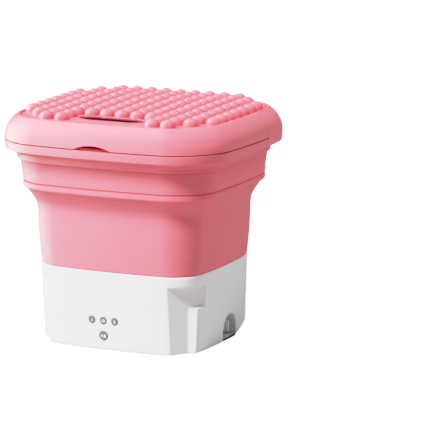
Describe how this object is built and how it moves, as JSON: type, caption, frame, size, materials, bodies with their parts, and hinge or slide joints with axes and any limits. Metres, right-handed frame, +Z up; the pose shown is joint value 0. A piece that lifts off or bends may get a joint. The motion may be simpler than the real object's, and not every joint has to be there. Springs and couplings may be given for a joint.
{
  "type": "portable mini washer",
  "caption": "Collapsible tabletop washer: white drive base, folding soft bucket, flared rim and hinged lid with a domed pad and slot.",
  "frame": {"origin": "centre of the footprint on the floor", "axes": "+Z up, -Y front with the buttons, +X the side with the drain arch"},
  "size_m": [0.2868, 0.2638, 0.2751],
  "materials": {
    "pink_shell": "satin",
    "pink_soft": "matte",
    "pink_domes": "satin",
    "white_shell": "satin",
    "white_inner": "matte",
    "grey_button": "matte",
    "dark_plastic": "matte",
    "gear_plastic": "satin",
    "black_rubber": "matte",
    "steel": "brushed",
    "zinc_can": "satin",
    "bronze": "satin",
    "magnet": "matte",
    "board": "satin",
    "cable": "satin"
  },
  "bodies": {
    "base": {"base_housing": "white_shell", "base_bottom_cover": "white_inner", "rubber_feet": "black_rubber", "bottom_cover_screws": "steel", "tub_floor": "white_inner", "bucket_wall": "pink_soft", "bucket_clamp_ring": "white_inner", "clamp_ring_screws": "steel", "gearbox_housing": "dark_plastic", "gearbox_cover": "dark_plastic", "gearbox_screws": "steel", "lower_bushing": "bronze", "upper_bushing": "bronze", "shaft_seal": "black_rubber", "idler_pin": "steel", "motor_can": "zinc_can", "motor_end_cap": "dark_plastic", "motor_magnets": "magnet", "motor_screws": "steel", "control_board": "board", "tact_switches": "dark_plastic", "button_carrier": "white_inner", "dc_power_jack": "dark_plastic", "wiring_harness": "cable", "drain_pipe": "white_inner", "drain_gasket": "black_rubber", "drain_strainer": "steel", "drain_sill": "dark_plastic"},
    "agitator": {"pulsator": "white_inner", "pulsator_screw": "steel", "pulsator_cap": "pink_shell", "drive_shaft": "steel", "drive_gear": "gear_plastic", "shaft_circlip": "steel"},
    "idler": {"idler_gear": "gear_plastic"},
    "motor_spindle": {"motor_rotor": "steel", "motor_pinion": "bronze"},
    "button_1": {"button_1_min": "grey_button"},
    "button_10": {"button_10_min": "grey_button"},
    "button_5": {"button_5_min": "grey_button"},
    "button_power": {"button_start": "grey_button"},
    "plug": {"drain_plug": "pink_soft"},
    "upper": {"rim_ring": "pink_shell", "bucket_upper_band": "pink_soft", "rim_clamp_ring": "white_inner", "rim_screws": "steel", "lid_hinge_pins": "steel"},
    "lid": {"lid_shell": "pink_shell", "lid_dome_panel": "pink_domes", "lid_slot_bezel": "pink_shell", "lid_seal": "pink_soft"}
  },
  "joints": [
    {"name": "bucket_fold", "type": "slide", "parent": "base", "child": "upper", "axis": [0, 0, -1], "range_m": [0, 0.152], "deforming": ["bucket_wall"]},
    {"name": "lid_hinge", "type": "hinge", "parent": "upper", "child": "lid", "pos_m": [0, 0.1196, 0.2646], "axis": [-1, 0, 0], "range_deg": [0, 105]},
    {"name": "agitator_spin", "type": "hinge", "parent": "base", "child": "agitator", "pos_m": [0, 0, 0.05], "axis": [0, 0, 1], "continuous": true},
    {"name": "idler_spin", "type": "hinge", "parent": "base", "child": "idler", "pos_m": [-0.032, 0, 0.045], "axis": [0, 0, 1], "continuous": true},
    {"name": "motor_spin", "type": "hinge", "parent": "base", "child": "motor_spindle", "pos_m": [-0.06, 0, 0.03], "axis": [0, 0, 1], "continuous": true},
    {"name": "button_1_press", "type": "slide", "parent": "base", "child": "button_1", "axis": [0, 1, 0], "range_m": [0, 0.0008]},
    {"name": "button_10_press", "type": "slide", "parent": "base", "child": "button_10", "axis": [0, 1, 0], "range_m": [0, 0.0008]},
    {"name": "button_5_press", "type": "slide", "parent": "base", "child": "button_5", "axis": [0, 1, 0], "range_m": [0, 0.0008]},
    {"name": "button_start_press", "type": "slide", "parent": "base", "child": "button_power", "axis": [0, 1, 0], "range_m": [0, 0.0008]},
    {"name": "plug_pull", "type": "slide", "parent": "base", "child": "plug", "axis": [1, 0, 0], "range_m": [0, 0.016]}
  ],
  "couplings": [
    {"joint": "idler_spin", "follows": "agitator_spin", "ratio": -3},
    {"joint": "motor_spin", "follows": "agitator_spin", "ratio": 9}
  ]
}
